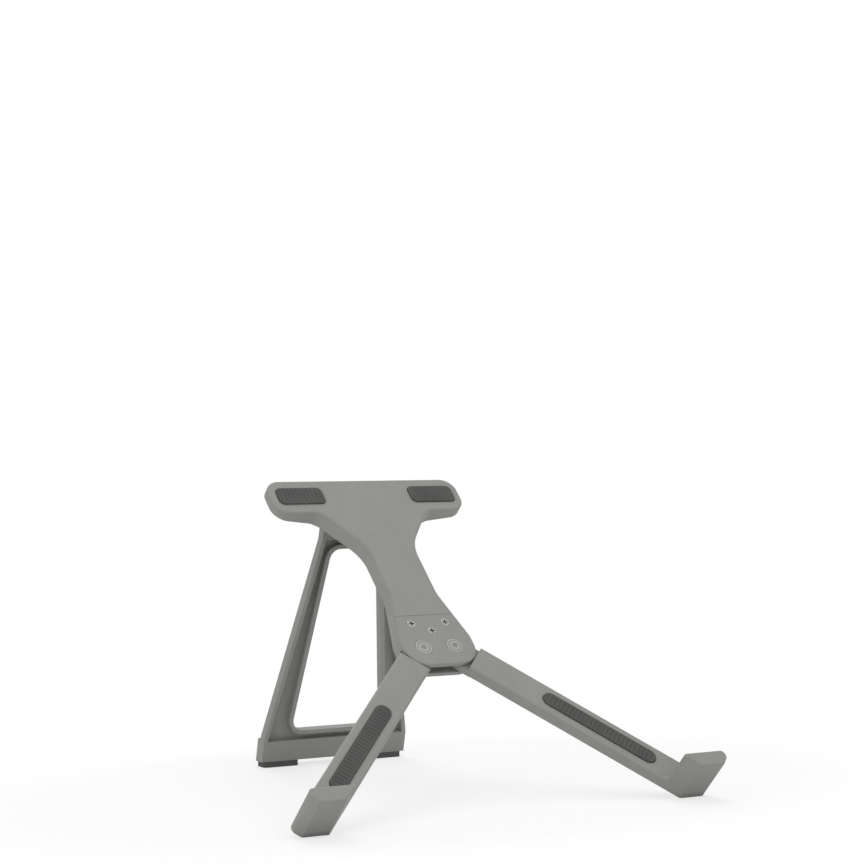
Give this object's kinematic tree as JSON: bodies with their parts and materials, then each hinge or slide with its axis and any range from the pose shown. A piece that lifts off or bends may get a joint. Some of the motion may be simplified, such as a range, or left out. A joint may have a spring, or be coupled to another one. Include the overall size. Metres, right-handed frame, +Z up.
{
  "type": "foldable laptop stand",
  "caption": "Folding tripod laptop stand: hooked front arms swing in at a central hub, and a framed prop leg hinges under the rear saddle to hold the deck at a steep slope.",
  "frame": {"origin": "centre of the open stand's footprint box, on the table", "axes": "+Z up from the table, +Y from the front hooks towards the prop leg, +X across to the right arm"},
  "size_m": [0.2234, 0.202, 0.1489],
  "materials": {
    "grey_plastic": "fine moulded grain, matte",
    "grey_soft_rubber": "soft matte, matched to the plastic",
    "dark_rubber": "matte with a fine ribbed face",
    "steel": "turned and plated",
    "bearing_plastic": "smooth, slightly waxy"
  },
  "bodies": {
    "spine": {"spine": "grey_plastic", "hub_cover": "grey_plastic", "hub_screws": "steel", "leg_hinge_pin": "steel", "leg_hinge_clip": "steel", "pivot_pin_left": "steel", "pivot_pin_right": "steel", "pivot_washers_left": "bearing_plastic", "pivot_washers_right": "bearing_plastic", "saddle_pad_left": "dark_rubber", "saddle_pad_right": "dark_rubber"},
    "arm_left": {"arm_left": "grey_plastic", "toe_left": "grey_soft_rubber", "seat_pad_left": "dark_rubber", "hook_pad_left": "dark_rubber", "pivot_bush_left": "bearing_plastic"},
    "arm_right": {"arm_right": "grey_plastic", "toe_right": "grey_soft_rubber", "seat_pad_right": "dark_rubber", "hook_pad_right": "dark_rubber", "pivot_bush_right": "bearing_plastic"},
    "leg": {"leg": "grey_plastic", "leg_bush_left": "bearing_plastic", "leg_bush_right": "bearing_plastic", "leg_foot_left": "dark_rubber", "leg_foot_right": "dark_rubber"}
  },
  "joints": [
    {"name": "arm_left_fold", "type": "hinge", "parent": "spine", "child": "arm_left", "pos_m": [-0.0087, -0.01752, 0.072], "axis": [0, -0.6884, 0.7254], "range_deg": [0, 45]},
    {"name": "arm_right_fold", "type": "hinge", "parent": "spine", "child": "arm_right", "pos_m": [0.0087, -0.01752, 0.072], "axis": [0, 0.6884, -0.7254], "range_deg": [0, 45]},
    {"name": "leg_fold", "type": "hinge", "parent": "spine", "child": "leg", "pos_m": [0, 0.06401, 0.1344], "axis": [-1, 0, 0], "range_deg": [0, 58.5]}
  ]
}
